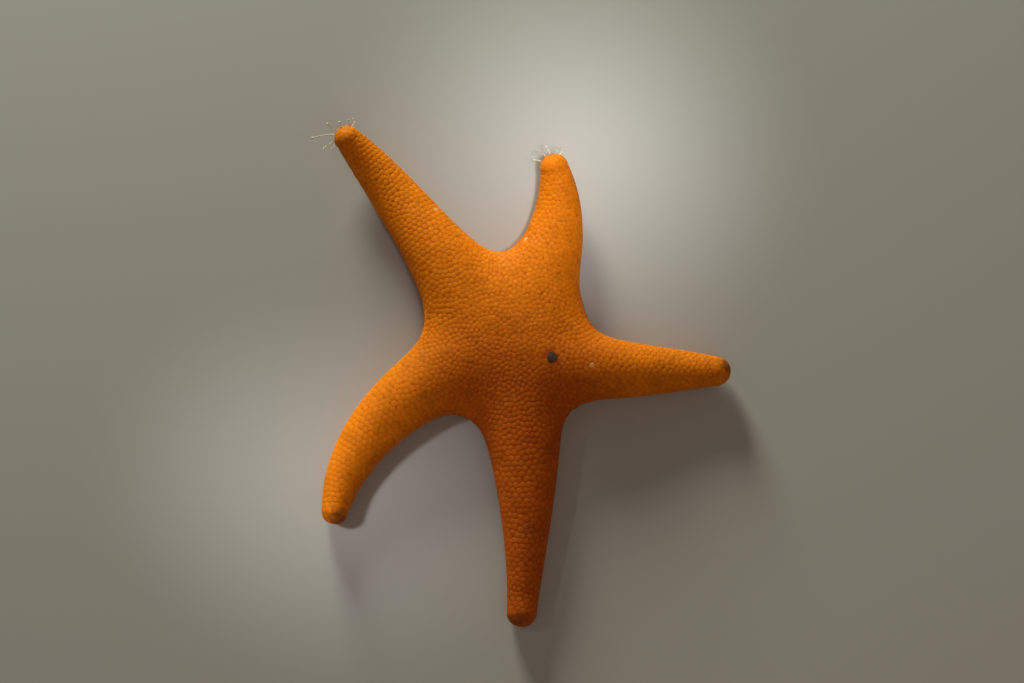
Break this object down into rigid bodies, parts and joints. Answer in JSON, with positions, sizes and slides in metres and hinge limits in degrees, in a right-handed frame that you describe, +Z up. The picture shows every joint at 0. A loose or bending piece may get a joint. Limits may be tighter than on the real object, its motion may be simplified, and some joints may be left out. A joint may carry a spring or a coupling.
{
  "type": "orange blood star starfish, still life-size model",
  "caption": "Still life-size starfish, plump tapering arms round a small domed disc, beaded orange skin, grooved mouth side down, the back arms raised at the end.",
  "frame": {"origin": "under the middle of the whole model's box, on the floor that its mouth side rests on", "axes": "+Z up, away from the mouth side; +Y from the longest front arm towards the two raised back arms; +X to the right as seen from above with +Y ahead"},
  "size_m": [0.1042, 0.1258, 0.013],
  "materials": {
    "skin": "beaded orange skin, softly satin, darker between the beads",
    "tube_feet": "soft, pale and a little translucent, moist",
    "mouth_lips": "soft and moist",
    "sieve_plate": "dull, finely grooved chalky plate"
  },
  "bodies": {
    "root": {"disc": "skin", "sieve_plate": "sieve_plate", "mouth": "mouth_lips", "arm_1_base": "skin", "arm_1_tip": "skin", "tube_feet_1": "tube_feet", "arm_2_base": "skin", "arm_2_tip": "skin", "tube_feet_2": "tube_feet", "arm_3_base": "skin", "arm_3_tip": "skin", "tube_feet_3": "tube_feet", "arm_4_base": "skin", "arm_4_tip": "skin", "tube_feet_4": "tube_feet", "arm_5_base": "skin", "arm_5_tip": "skin", "tube_feet_5": "tube_feet"}
  },
  "joints": []
}
